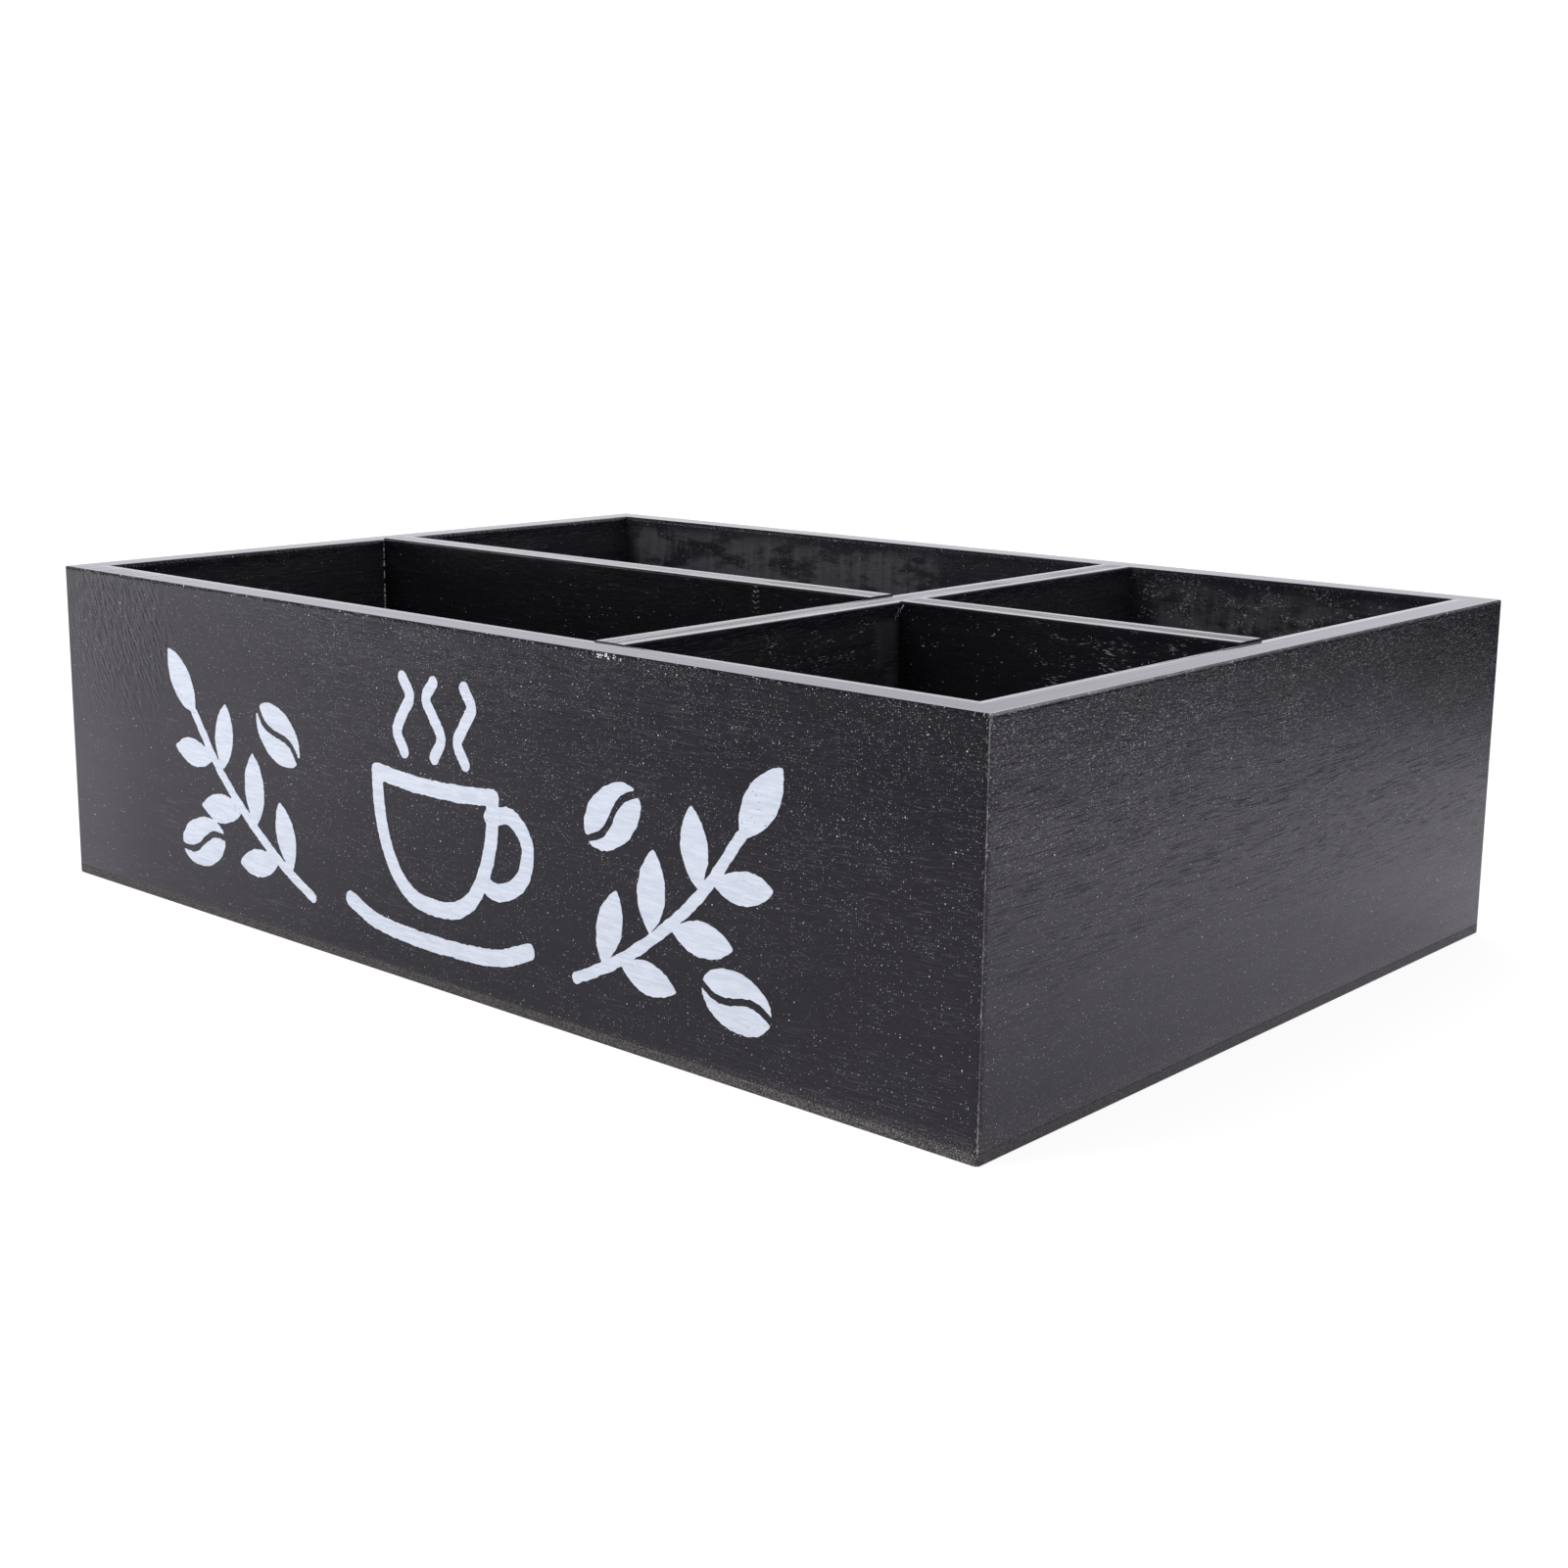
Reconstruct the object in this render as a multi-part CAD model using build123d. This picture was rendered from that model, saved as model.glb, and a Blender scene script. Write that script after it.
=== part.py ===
from build123d import *
import os

# Coffee station organizer: an open wooden box of four mitred walls on a thin base board.
# Two crossed dividers, half-lapped into each other, make four compartments.
# Millimetres. X runs along the front, Y to the back, Z up. The origin is the centre of the underside.

# Overall sizes
body_width = 303.0
body_depth = 210.0
rim_height = 84.0

# Boards
wall_thickness = 9.0
divider_thickness = 9.3
base_thickness = 2.5
left_bay_width = 185.0

# How far each divider stands above the rim of the walls
cross_divider_proud = 0.15
long_divider_proud = 0.5

# Sanded edges
outer_corner_radius = 1.2
rim_edge_radius = 0.4
divider_edge_radius = 0.5
seam_edge_radius = 0.1
base_corner_radius = 1.2
base_edge_radius = 0.5

# Half-lap joint of the dividers
lap_side_clearance = 0.1
lap_height_clearance = 0.4

# Brads: flat wire nails with a small T head, set below the surface and filled over
brad_width = 1.25
brad_gauge = 1.0
brad_head_width = 2.0
brad_head_height = 0.6
brad_point_length = 1.2
brad_set_depth = 0.8
corner_brad_length = 20.0
divider_brad_length = 25.0
corner_brad_height_shares = (0.16, 0.5, 0.84)
divider_brad_height_shares = (0.3, 0.75)

# Staples that hold the base board to the walls and dividers from below
staple_crown_width = 6.0
staple_wire_width = 1.2
staple_wire_thickness = 0.6
staple_leg_length = 12.0
staple_point_length = 1.0
staple_set_depth = 0.1
front_staple_shares = (-0.36, -0.12, 0.08, 0.36)
side_staple_shares = (-0.3, 0.0, 0.3)
divider_staple_shares = (-0.3, 0.3)

# Places worked out from the sizes above
half_width = body_width / 2
half_depth = body_depth / 2
wall_height = rim_height - base_thickness
inner_width = body_width - 2 * wall_thickness
inner_depth = body_depth - 2 * wall_thickness
wall_middle_x = half_width - wall_thickness / 2
wall_middle_y = half_depth - wall_thickness / 2
cross_divider_x = -inner_width / 2 + left_bay_width + divider_thickness / 2
lap_height = base_thickness + wall_height / 2
lap_slot_width = divider_thickness + 2 * lap_side_clearance
cross_divider_top = rim_height + cross_divider_proud
long_divider_top = rim_height + long_divider_proud
cut_overrun = wall_thickness


def plain_block(x_range, y_range, z_range):
    """A block between two places on each axis."""
    sizes = [high - low for low, high in (x_range, y_range, z_range)]
    middles = [(low + high) / 2 for low, high in (x_range, y_range, z_range)]
    return Pos(*middles) * Box(*sizes)


def level_edges(solid, height, axis):
    """The straight edges along one axis that lie at one height."""
    return [
        edge
        for edge in solid.edges().filter_by(axis)
        if abs(edge.center().Z - height) < rim_edge_radius / 4
    ]


def wall_ring():
    """The four walls in one piece, before the mitres part them."""
    outline = RectangleRounded(body_width, body_depth, outer_corner_radius)
    ring = extrude(outline - Rectangle(inner_width, inner_depth), wall_height)
    ring = Pos(0, 0, base_thickness) * ring
    ring = fillet(ring.faces().sort_by(Axis.Z)[-1].edges(), rim_edge_radius)
    underside = ring.faces().sort_by(Axis.Z)[0]
    return fillet(underside.outer_wire().edges(), seam_edge_radius)


def mitred_walls():
    """The ring parted at its four corners by planes at 45 degrees."""
    ring = wall_ring()
    past_x = half_width + cut_overrun
    past_y = half_depth + cut_overrun
    in_x = half_width - wall_thickness - cut_overrun
    in_y = half_depth - wall_thickness - cut_overrun
    wedges = {
        "front_panel": ((-past_x, -past_y), (past_x, -past_y), (in_x, -in_y), (-in_x, -in_y)),
        "back_panel": ((-past_x, past_y), (past_x, past_y), (in_x, in_y), (-in_x, in_y)),
        "left_panel": ((-past_x, -past_y), (-past_x, past_y), (-in_x, in_y), (-in_x, -in_y)),
        "right_panel": ((past_x, -past_y), (past_x, past_y), (in_x, in_y), (in_x, -in_y)),
    }
    return {
        name: ring & extrude(make_face(Polyline(*corners, close=True)), rim_height)
        for name, corners in wedges.items()
    }


def base_board():
    """The thin board under the walls, flush with their faces, its edge sanded round below."""
    board = extrude(RectangleRounded(body_width, body_depth, base_corner_radius), base_thickness)
    board = fillet(board.faces().sort_by(Axis.Z)[0].edges(), base_edge_radius)
    return fillet(board.faces().sort_by(Axis.Z)[-1].edges(), seam_edge_radius)


def cross_divider():
    """The divider from the front wall to the back wall, slotted from below at the crossing."""
    board = plain_block(
        (cross_divider_x - divider_thickness / 2, cross_divider_x + divider_thickness / 2),
        (-inner_depth / 2, inner_depth / 2),
        (base_thickness, cross_divider_top),
    )
    board = fillet(level_edges(board, cross_divider_top, Axis.Y), divider_edge_radius)
    slot = plain_block(
        (cross_divider_x - divider_thickness, cross_divider_x + divider_thickness),
        (-lap_slot_width / 2, lap_slot_width / 2),
        (base_thickness - cut_overrun, lap_height + lap_height_clearance / 2),
    )
    return board - slot


def long_divider():
    """The divider from the left wall to the right wall, slotted from above at the crossing."""
    board = plain_block(
        (-inner_width / 2, inner_width / 2),
        (-divider_thickness / 2, divider_thickness / 2),
        (base_thickness, long_divider_top),
    )
    board = fillet(level_edges(board, long_divider_top, Axis.X), divider_edge_radius)
    slot = plain_block(
        (cross_divider_x - lap_slot_width / 2, cross_divider_x + lap_slot_width / 2),
        (-divider_thickness, divider_thickness),
        (lap_height - lap_height_clearance / 2, long_divider_top + cut_overrun),
    )
    return board - slot


def brad(length):
    """One brad with its head at the origin and its point along +Z, flat in the XZ plane."""
    head = brad_head_width / 2
    shank = brad_width / 2
    outline = [
        (-head, 0),
        (head, 0),
        (head, brad_head_height),
        (shank, brad_head_height),
        (shank, length - brad_point_length),
        (0, length),
        (-shank, length - brad_point_length),
        (-shank, brad_head_height),
        (-head, brad_head_height),
    ]
    face = Plane.XZ * make_face(Polyline(*outline, close=True))
    return extrude(face, brad_gauge / 2, both=True)


def staple():
    """One staple with the middle of its crown at the origin, its legs along +Z and its crown along X."""
    outer = staple_crown_width / 2
    inner = outer - staple_wire_thickness
    shoulder = staple_leg_length - staple_point_length
    outline = [
        (-outer, 0),
        (outer, 0),
        (outer, staple_leg_length),
        (inner, shoulder),
        (inner, staple_wire_thickness),
        (-inner, staple_wire_thickness),
        (-inner, shoulder),
        (-outer, staple_leg_length),
    ]
    face = Plane.XZ * make_face(Polyline(*outline, close=True))
    return extrude(face, staple_wire_width / 2, both=True)


def corner_brads():
    """Brads through the side walls into the ends of the front and back walls, at each corner."""
    head_x = half_width - brad_set_depth
    nail = brad(corner_brad_length)
    brads = []
    for height_share in corner_brad_height_shares:
        height = base_thickness + height_share * wall_height
        for wall_y in (-wall_middle_y, wall_middle_y):
            brads.append(Pos(-head_x, wall_y, height) * Rot(0, 90, 0) * nail)
            brads.append(Pos(head_x, wall_y, height) * Rot(0, -90, 0) * nail)
    return brads


def divider_brads():
    """Brads through the four walls into the ends of the two dividers."""
    head_x = half_width - brad_set_depth
    head_y = half_depth - brad_set_depth
    nail = brad(divider_brad_length)
    brads = []
    for height_share in divider_brad_height_shares:
        height = base_thickness + height_share * wall_height
        brads.append(Pos(cross_divider_x, -head_y, height) * Rot(-90, 0, 0) * nail)
        brads.append(Pos(cross_divider_x, head_y, height) * Rot(90, 0, 0) * nail)
        brads.append(Pos(-head_x, 0, height) * Rot(0, 90, 0) * nail)
        brads.append(Pos(head_x, 0, height) * Rot(0, -90, 0) * nail)
    return brads


def base_staples():
    """Staples from below, along the middle of each wall and each divider."""
    along_x = staple()
    along_y = Rot(0, 0, 90) * along_x
    staples = []
    for share in front_staple_shares:
        for wall_y in (-wall_middle_y, wall_middle_y):
            staples.append(Pos(share * body_width, wall_y, staple_set_depth) * along_x)
    for share in side_staple_shares:
        for wall_x in (-wall_middle_x, wall_middle_x):
            staples.append(Pos(wall_x, share * body_depth, staple_set_depth) * along_y)
    for share in divider_staple_shares:
        staples.append(Pos(cross_divider_x, share * inner_depth, staple_set_depth) * along_y)
        staples.append(Pos(share * inner_width, 0, staple_set_depth) * along_x)
    return staples


def staple_recesses():
    """The shallow gap that each staple's crown leaves below it in the base board."""
    return [
        plain_block(
            (box.min.X, box.max.X),
            (box.min.Y, box.max.Y),
            (-cut_overrun, box.min.Z),
        )
        for box in (one.bounding_box() for one in base_staples())
    ]


def main():
    os.makedirs("parts", exist_ok=True)
    boards = {
        **mitred_walls(),
        "cross_divider": cross_divider(),
        "long_divider": long_divider(),
        "base_board": base_board(),
    }
    fasteners = {
        "corner_brads": corner_brads(),
        "divider_brads": divider_brads(),
        "base_staples": base_staples(),
    }
    driven = [piece for group in fasteners.values() for piece in group]
    for name, board in boards.items():
        cutters = driven + staple_recesses() if name == "base_board" else driven
        reach = board.bounding_box()
        near = [cutter for cutter in cutters if reach.overlaps(cutter.bounding_box())]
        export_step(board - near, f"parts/{name}.step")
    for name, group in fasteners.items():
        export_step(Compound(children=group), f"parts/{name}.step")


main()
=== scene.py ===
"""Looks of a wooden coffee station organizer: rubbed black paint, a painted motif, glue and filler marks."""

import math
import random

import bmesh
import bpy
import numpy as np
from mathutils import Matrix, Quaternion, Vector


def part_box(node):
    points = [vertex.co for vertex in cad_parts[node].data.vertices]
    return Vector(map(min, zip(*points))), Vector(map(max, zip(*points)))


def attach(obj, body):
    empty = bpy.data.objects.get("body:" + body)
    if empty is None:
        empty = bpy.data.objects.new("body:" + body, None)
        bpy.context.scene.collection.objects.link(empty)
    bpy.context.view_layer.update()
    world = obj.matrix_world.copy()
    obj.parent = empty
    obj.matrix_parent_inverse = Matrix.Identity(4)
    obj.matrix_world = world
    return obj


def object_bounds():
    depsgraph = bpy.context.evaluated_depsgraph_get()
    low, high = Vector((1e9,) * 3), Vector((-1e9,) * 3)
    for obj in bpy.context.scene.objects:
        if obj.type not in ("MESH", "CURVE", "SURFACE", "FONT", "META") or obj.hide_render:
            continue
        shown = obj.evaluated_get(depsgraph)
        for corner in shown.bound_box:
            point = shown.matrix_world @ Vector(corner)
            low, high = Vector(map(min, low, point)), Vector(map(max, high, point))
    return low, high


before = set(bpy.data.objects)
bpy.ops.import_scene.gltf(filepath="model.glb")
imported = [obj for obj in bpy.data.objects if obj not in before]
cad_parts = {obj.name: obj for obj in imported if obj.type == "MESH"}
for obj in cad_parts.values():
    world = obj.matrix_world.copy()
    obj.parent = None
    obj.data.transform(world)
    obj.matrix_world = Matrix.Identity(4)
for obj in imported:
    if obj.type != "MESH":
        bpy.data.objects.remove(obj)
cad_low, cad_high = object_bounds()

# Lengths are in metres, MM turns millimetres into them
MM = 0.001

# Places on the box, read from its own pieces
HALF_WIDTH = cad_high.x
HALF_DEPTH = cad_high.y
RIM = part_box("front_panel")[1].z
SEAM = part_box("front_panel")[0].z
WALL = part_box("front_panel")[1].y - cad_low.y
CROSS_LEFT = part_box("cross_divider")[0].x
CROSS_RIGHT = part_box("cross_divider")[1].x
LONG_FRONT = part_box("long_divider")[0].y
LONG_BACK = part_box("long_divider")[1].y

# Camera, from the fit of the box's edges in the photograph
CAMERA_AT = Vector((0.37241, -0.41185, 0.15466))
CAMERA_LOOK = Vector((-0.66624, 0.71989, -0.19463))
CAMERA_ROLL = math.radians(0.323)
CAMERA_LENS = 50.37
CAMERA_SENSOR = 36.0
CAMERA_SHIFT = (0.03785, -0.03192)
CAMERA_NEAR = 0.01

# Studio
FLOOR_SIZE = 8.0
FLOOR_GAP = 0.02 * MM
BACKGROUND = (1.025, 1.0, 1.085)
AMBIENT = 0.6
FLOOR_GLOW = 0.86
FLOOR_SHADE_ALBEDO = 0.30
FLOOR_BOUNCE_ALBEDO = 0.8
# Painted shade in the floor that reflections see: grey in front of the box, in a band, towards the right and
# at its foot
FLOOR_GREY_PLACE = (0.02, -0.28, 0.0)
FLOOR_GREY_REACH = (0.05, 0.40)
FLOOR_GREY = 0.50
FLOOR_BRIGHT = 1.08
FOOT_FROM_X = -0.02
FOOT_REACH = 0.10
FOOT_SHADE = 0.70
FOOT_FADE_Y = (0.15, 0.07)
BAND_Y = (-0.24, -0.34)
BAND_X = (-0.74, -0.56)
BAND_SHADE = 0.40
RIGHT_REACH = (0.16, 0.27)
RIGHT_SHADE = 0.80
NEUTRAL = (1.0, 1.0, 1.0)
CARD_BLACK = (0.02, 0.02, 0.022)
CARD_TOP = 1.2
LEFT_CARD_FOOT = 0.14


class Graph:
    """One material's nodes. Each method adds a node and returns its output."""

    def __init__(self, name):
        self.material = bpy.data.materials.new(name)
        self.material.use_nodes = True
        self.tree = self.material.node_tree
        self.shader = self.tree.nodes["Principled BSDF"]

    def node(self, kind, **settings):
        node = self.tree.nodes.new(kind)
        for key, value in settings.items():
            setattr(node, key, value)
        return node

    def feed(self, socket, value):
        if isinstance(value, bpy.types.NodeSocket):
            self.tree.links.new(value, socket)
        else:
            socket.default_value = value

    def fill(self, node, **values):
        """Feeds a node's inputs by name, with _ for each space."""
        for key, value in values.items():
            self.feed(node.inputs[key.replace("_", " ")], value)

    def math(self, operation, *values):
        node = self.node("ShaderNodeMath", operation=operation)
        for socket, value in zip(node.inputs, values):
            self.feed(socket, value)
        return node.outputs[0]

    def both(self, *masks):
        """The product of masks."""
        total = masks[0]
        for mask in masks[1:]:
            total = self.math("MULTIPLY", total, mask)
        return total

    def less(self, first, second):
        """first less second."""
        return self.math("SUBTRACT", first, second)

    def distance(self, place, centre):
        node = self.node("ShaderNodeVectorMath", operation="DISTANCE")
        self.feed(node.inputs[0], place)
        self.feed(node.inputs[1], centre)
        return node.outputs["Value"]

    def vector_math(self, operation, *values):
        node = self.node("ShaderNodeVectorMath", operation=operation)
        for socket, value in zip(node.inputs, values):
            self.feed(socket, value)
        return node.outputs[0]

    def step(self, value, start, end):
        """0 at start, 1 at end, smooth between them."""
        node = self.node("ShaderNodeMapRange", interpolation_type="SMOOTHSTEP")
        self.fill(node, Value=value, From_Min=start, From_Max=end)
        return node.outputs["Result"]

    def spread(self, value, low, high):
        """A value of 0 to 1 spread over low to high."""
        node = self.node("ShaderNodeMapRange")
        self.fill(node, Value=value, To_Min=low, To_Max=high)
        return node.outputs["Result"]

    def mix(self, factor, first, second):
        node = self.node("ShaderNodeMix", data_type="RGBA")
        self.feed(node.inputs[0], factor)
        for socket, colour in ((node.inputs[6], first), (node.inputs[7], second)):
            self.feed(socket, colour if isinstance(colour, bpy.types.NodeSocket) else (*colour, 1.0))
        return node.outputs[2]

    def split(self, vector):
        node = self.node("ShaderNodeSeparateXYZ")
        self.feed(node.inputs[0], vector)
        return list(node.outputs)

    def join(self, x, y, z):
        node = self.node("ShaderNodeCombineXYZ")
        for socket, value in zip(node.inputs, (x, y, z)):
            self.feed(socket, value)
        return node.outputs[0]

    def noise(self, vector, sizes, detail=2.0, roughness=0.5, distortion=0.0):
        """Noise whose grains are about as large as sizes, in the vector's units."""
        scaled = self.vector_math("DIVIDE", vector, sizes)
        node = self.node("ShaderNodeTexNoise")
        self.fill(node, Vector=scaled, Scale=1.0, Detail=detail, Roughness=roughness, Distortion=distortion)
        return node.outputs["Fac"]

    def dots(self, flat, cell, radius, share):
        """Round dots up to radius on a flat face, in a share of the face's square cells."""
        node = self.node("ShaderNodeTexVoronoi", voronoi_dimensions="2D")
        self.fill(node, Vector=self.vector_math("DIVIDE", flat, (cell, cell, cell)), Scale=1.0)
        chance, size, light = self.split(node.outputs["Color"])
        reach = self.both(self.spread(size, 0.30, 1.0), radius / cell)
        ragged = self.both(self.spread(self.noise(flat, (0.22, 0.22, 0.22)), 0.45, 1.55), reach)
        spot = self.step(node.outputs["Distance"], ragged, self.both(ragged, 0.6))
        spot = self.both(spot, self.spread(self.both(light, light), 0.34, 1.0))
        return self.both(spot, self.math("LESS_THAN", chance, share))

    def patch(self, place, low, high, soft):
        """1 inside a box of the place's space, fading to 0 over soft on each side."""
        mask = 1.0
        for value, start, end in zip(self.split(place), low, high):
            rising = self.step(value, start - soft, start + soft)
            falling = self.step(value, end + soft, end - soft)
            mask = self.both(mask, rising, falling)
        return mask

    def bump(self, height, distance, normal=None):
        """height is 0 to 1 over distance, in metres."""
        node = self.node("ShaderNodeBump")
        self.fill(node, Strength=1.0, Distance=distance, Height=height)
        if normal is not None:
            self.fill(node, Normal=normal)
        return node.outputs["Normal"]

    def diffuse(self, albedo):
        node = self.node("ShaderNodeBsdfDiffuse")
        self.fill(node, Color=(albedo, albedo, albedo, 1.0))
        return node.outputs[0]

    def emission(self, colour, strength):
        node = self.node("ShaderNodeEmission")
        self.fill(node, Color=(*colour, 1.0), Strength=strength)
        return node.outputs[0]

    def choose(self, share, first, second, final=False):
        """first where share is 0, second where it is 1."""
        node = self.node("ShaderNodeMixShader")
        for socket, value in zip(node.inputs, (share, first, second)):
            self.feed(socket, value)
        if final:
            self.feed(self.tree.nodes["Material Output"].inputs["Surface"], node.outputs[0])
        return node.outputs[0]

    def set(self, **values):
        """Feeds the shader's inputs by name and gives the material."""
        self.fill(self.shader, **values)
        return self.material


def millimetres(graph):
    """The place on the object, in millimetres."""
    position = graph.node("ShaderNodeTexCoord").outputs["Object"]
    return graph.vector_math("DIVIDE", position, (MM, MM, MM))


# Paint tones
PAINT_DARK = (0.0062, 0.0058, 0.0082)
PAINT_LIGHT = (0.0160, 0.0150, 0.0200)
# Painted shade, in the sunk pores and on the long divider's upright faces
PAINTED_SHADE = (0.0020, 0.0018, 0.0026)
PAINT_THIN = (0.110, 0.106, 0.108)
HAZE = (0.150, 0.147, 0.150)
FROST = (0.44, 0.435, 0.43)
# Painted sheen for the front face's left end
PAINTED_END_SHEEN = (0.150, 0.146, 0.160)
DUST = (0.88, 0.88, 0.88)
WORN = (0.34, 0.33, 0.32)
# Pale rubbed edges of the tops and the rim's outer arris, partly painted highlight
RUBBED_AND_HIGHLIGHT = (0.80, 0.79, 0.80)
SMEAR = (0.120, 0.117, 0.125)
SCRATCH = (0.75, 0.74, 0.72)
STAIN_DARK = (0.014, 0.0130, 0.0140)
STAIN_LIGHT = (0.030, 0.0275, 0.0290)
BARE_FIBRE = (0.150, 0.134, 0.133)
FOOT_SPECK = (0.26, 0.235, 0.22)
MOTIF_SHADE = (0.60, 0.655, 0.735)
MOTIF_PALE = (0.735, 0.785, 0.865)
MOTIF_PIT = (0.12, 0.125, 0.14)
GLUE_PALE = (0.66, 0.64, 0.61)
GLUE_SHADE = (0.30, 0.29, 0.28)
CHIP_PALE = (0.55, 0.54, 0.53)
CHIP_SHADE = (0.28, 0.27, 0.27)
FILLER_PALE = (0.92, 0.92, 0.92)
FILLER_SHADE = (0.74, 0.74, 0.74)

# Sizes of the wood's marks along the grain and across it, in millimetres
PORE_SIZE = (6.0, 0.20, 0.20)
LONG_PORE_SIZE = (9.0, 0.17, 0.17)
THIN_SIZE = (3.2, 0.22, 0.22)
HAIRLINE_SIZE = (9.0, 0.18, 0.18)
SHORT_SCRATCH = (1.7, 0.26, 0.26)
RIGHT_DOT = (1.1, 0.40, 0.40)
BACK_DOT = (0.9, 0.40, 0.40)
LEFT_DOT = (0.8, 0.42, 0.42)
TOP_STREAK = (60.0, 3.0, 3.0)
CROSS_TOP_STREAK = (26.0, 1.5, 1.5)
LONG_TOP_STREAK = (30.0, 1.5, 1.5)
COMB_PITCH = 4.6

# Heights of the relief under the paint
FIBRE_HEIGHT = 0.044 * MM
GRIT_HEIGHT = 0.026 * MM
CRUMB_HEIGHT = 0.045 * MM
FRAYED_DEPTH = 0.42 * MM
SHALLOW_FRAYED = 0.20 * MM
STREAK_DEPTH = 0.02 * MM
DIVIDER_STREAK_DEPTH = 0.06 * MM
RIPPLE_HEIGHT = 0.30 * MM

# How far in some edges of the tops are rubbed pale, partly a painted highlight, and rounded over, and how far
# they drop there
RUBBED_HIGHLIGHT_REACH = 2.3
ROLLED_REACH = 1.1
ROLLED_DROP = 0.42 * MM
EASED_REACH = 2.0
EASED_DROP = 0.20 * MM

# Gloss
PAINT_IOR = 1.55
STAIN_IOR = 1.46
FACE_ROUGHNESS = (0.30, 0.42)
RIGHT_FACE_ROUGHNESS = (0.24, 0.35)
INNER_SMOOTHER = 0.62
GLOSS_TINT = (0.98, 0.94, 1.0)
TOP_ROUGHNESS = (0.05, 0.09)
DIVIDER_TOP_ROUGHNESS = (0.11, 0.44)
STAIN_ROUGHNESS = (0.46, 0.62)


def beside_x(x, along, heights):
    """The corners of a thin box around an upright face at x, in millimetres."""
    return (x - 1.0, along[0], heights[0]), (x + 1.0, along[1], heights[1])


def beside_y(y, along, heights):
    """The corners of a thin box around an upright face at y, in millimetres."""
    return (along[0], y - 1.0, heights[0]), (along[1], y + 1.0, heights[1])


class BoardPaint(Graph):
    """Thin black satin paint on one board, with the board's own coordinates."""

    def __init__(self, name, along, shift):
        super().__init__(name)
        self.place = millimetres(self)
        x, y, z = self.split(self.place)
        turned = self.join(x, y, z) if along == "x" else self.join(y, x, z)
        lane = self.join(x, z, 0.0) if along == "x" else self.join(y, z, 0.0)
        self.grain = self.vector_math("ADD", turned, shift)
        self.flat = self.vector_math("ADD", lane, shift)
        self.height = z
        self.from_x = self.less(HALF_WIDTH / MM, self.math("ABSOLUTE", x))
        self.from_y = self.less(HALF_DEPTH / MM, self.math("ABSOLUTE", y))
        self.from_rim = self.less(RIM / MM, z)
        self.from_seam = self.less(z, SEAM / MM)
        self.side = self.math("MINIMUM", self.from_x, self.from_y)
        self.from_inner = self.less(WALL / MM, self.side)
        facing = self.split(self.node("ShaderNodeTexCoord").outputs["Normal"])[2]
        self.top = self.step(facing, 0.75, 0.95)
        self.upright = self.step(facing, 0.55, 0.25)
        self.outside = self.step(self.side, 1.5, 0.8)
        waves = self.noise(self.grain, (130.0, 34.0, 34.0), detail=1.0)
        sway = self.both(waves, 8.0)
        self.fibre_space = self.vector_math("ADD", self.grain, self.join(0.0, sway, sway))
        self.fibres = self.noise(self.fibre_space, (22.0, 0.7, 0.7), detail=3.0, roughness=0.6)
        self.grit = self.noise(self.place, (0.35, 0.35, 0.35), detail=2.0, roughness=0.7)
        self.tone = self.mix(self.fibres, PAINT_DARK, PAINT_LIGHT)
        self.relief = None
        self.pores = 0.0

    def cover(self, mask, colour):
        self.tone = self.mix(mask, self.tone, colour)

    def raise_by(self, height, distance):
        self.relief = self.bump(height, distance, self.relief)

    def wood(
        self,
        pore_share=0.5,
        pore_depth=0.06,
        coarse=0.0,
        thinness=0.30,
        wavy=1.0,
        pore_size=PORE_SIZE,
        thin_size=THIN_SIZE,
    ):
        """Fibres stand up under the paint, pores are sunk, and the paint is thin on short fibres."""
        bands = self.noise(self.fibre_space, (60.0, 5.0, 5.0), detail=3.0, roughness=0.6)
        limit = self.spread(self.step(bands, 0.34, 0.62), 0.71, 0.60)
        lines = self.noise(self.fibre_space, pore_size, detail=0.0)
        pores = self.step(self.less(lines, limit), 0.0, 0.03)
        self.pores = self.both(pores, self.upright, pore_share)
        thin = self.noise(self.fibre_space, thin_size, detail=1.0)
        zones = self.noise(self.grain, (40.0, 16.0, 16.0), detail=3.0, roughness=0.6)
        thin = self.both(self.step(thin, 0.60, 0.72), self.step(zones, 0.40, 0.62), self.upright)
        self.cover(self.both(thin, thinness), PAINT_THIN)
        calm = self.both(self.spread(self.top, 1.0, 0.03), self.spread(self.outside, 0.4, 1.0))
        self.raise_by(self.both(self.fibres, calm, wavy), FIBRE_HEIGHT)
        self.raise_by(self.less(1.0, self.pores), pore_depth * MM)
        self.raise_by(self.both(self.grit, calm), GRIT_HEIGHT)
        crumbs = self.noise(self.fibre_space, (0.70, 0.33, 0.33), detail=1.0)
        self.raise_by(self.both(crumbs, self.upright, coarse), CRUMB_HEIGHT)

    def shade_pores(self, share=1.0):
        """Painted shade in the sunk pores, laid over the haze and crumbs, which don't fill them."""
        self.cover(self.both(self.pores, share), PAINTED_SHADE)

    def haze(self, strength, inner=0.13):
        """Dry dusty haze in patches, and a thin even one on inner faces."""
        patches = self.noise(self.grain, (38.0, 18.0, 18.0), detail=3.0, roughness=0.6)
        grains = self.step(self.grit, 0.50, 0.74)
        self.cover(self.both(self.step(patches, 0.36, 0.64), grains, self.upright, strength), HAZE)
        within = self.both(self.less(1.0, self.outside), self.step(self.from_rim, 1.0, 5.0))
        self.cover(self.both(within, self.upright, self.fibres, inner), HAZE)

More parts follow.
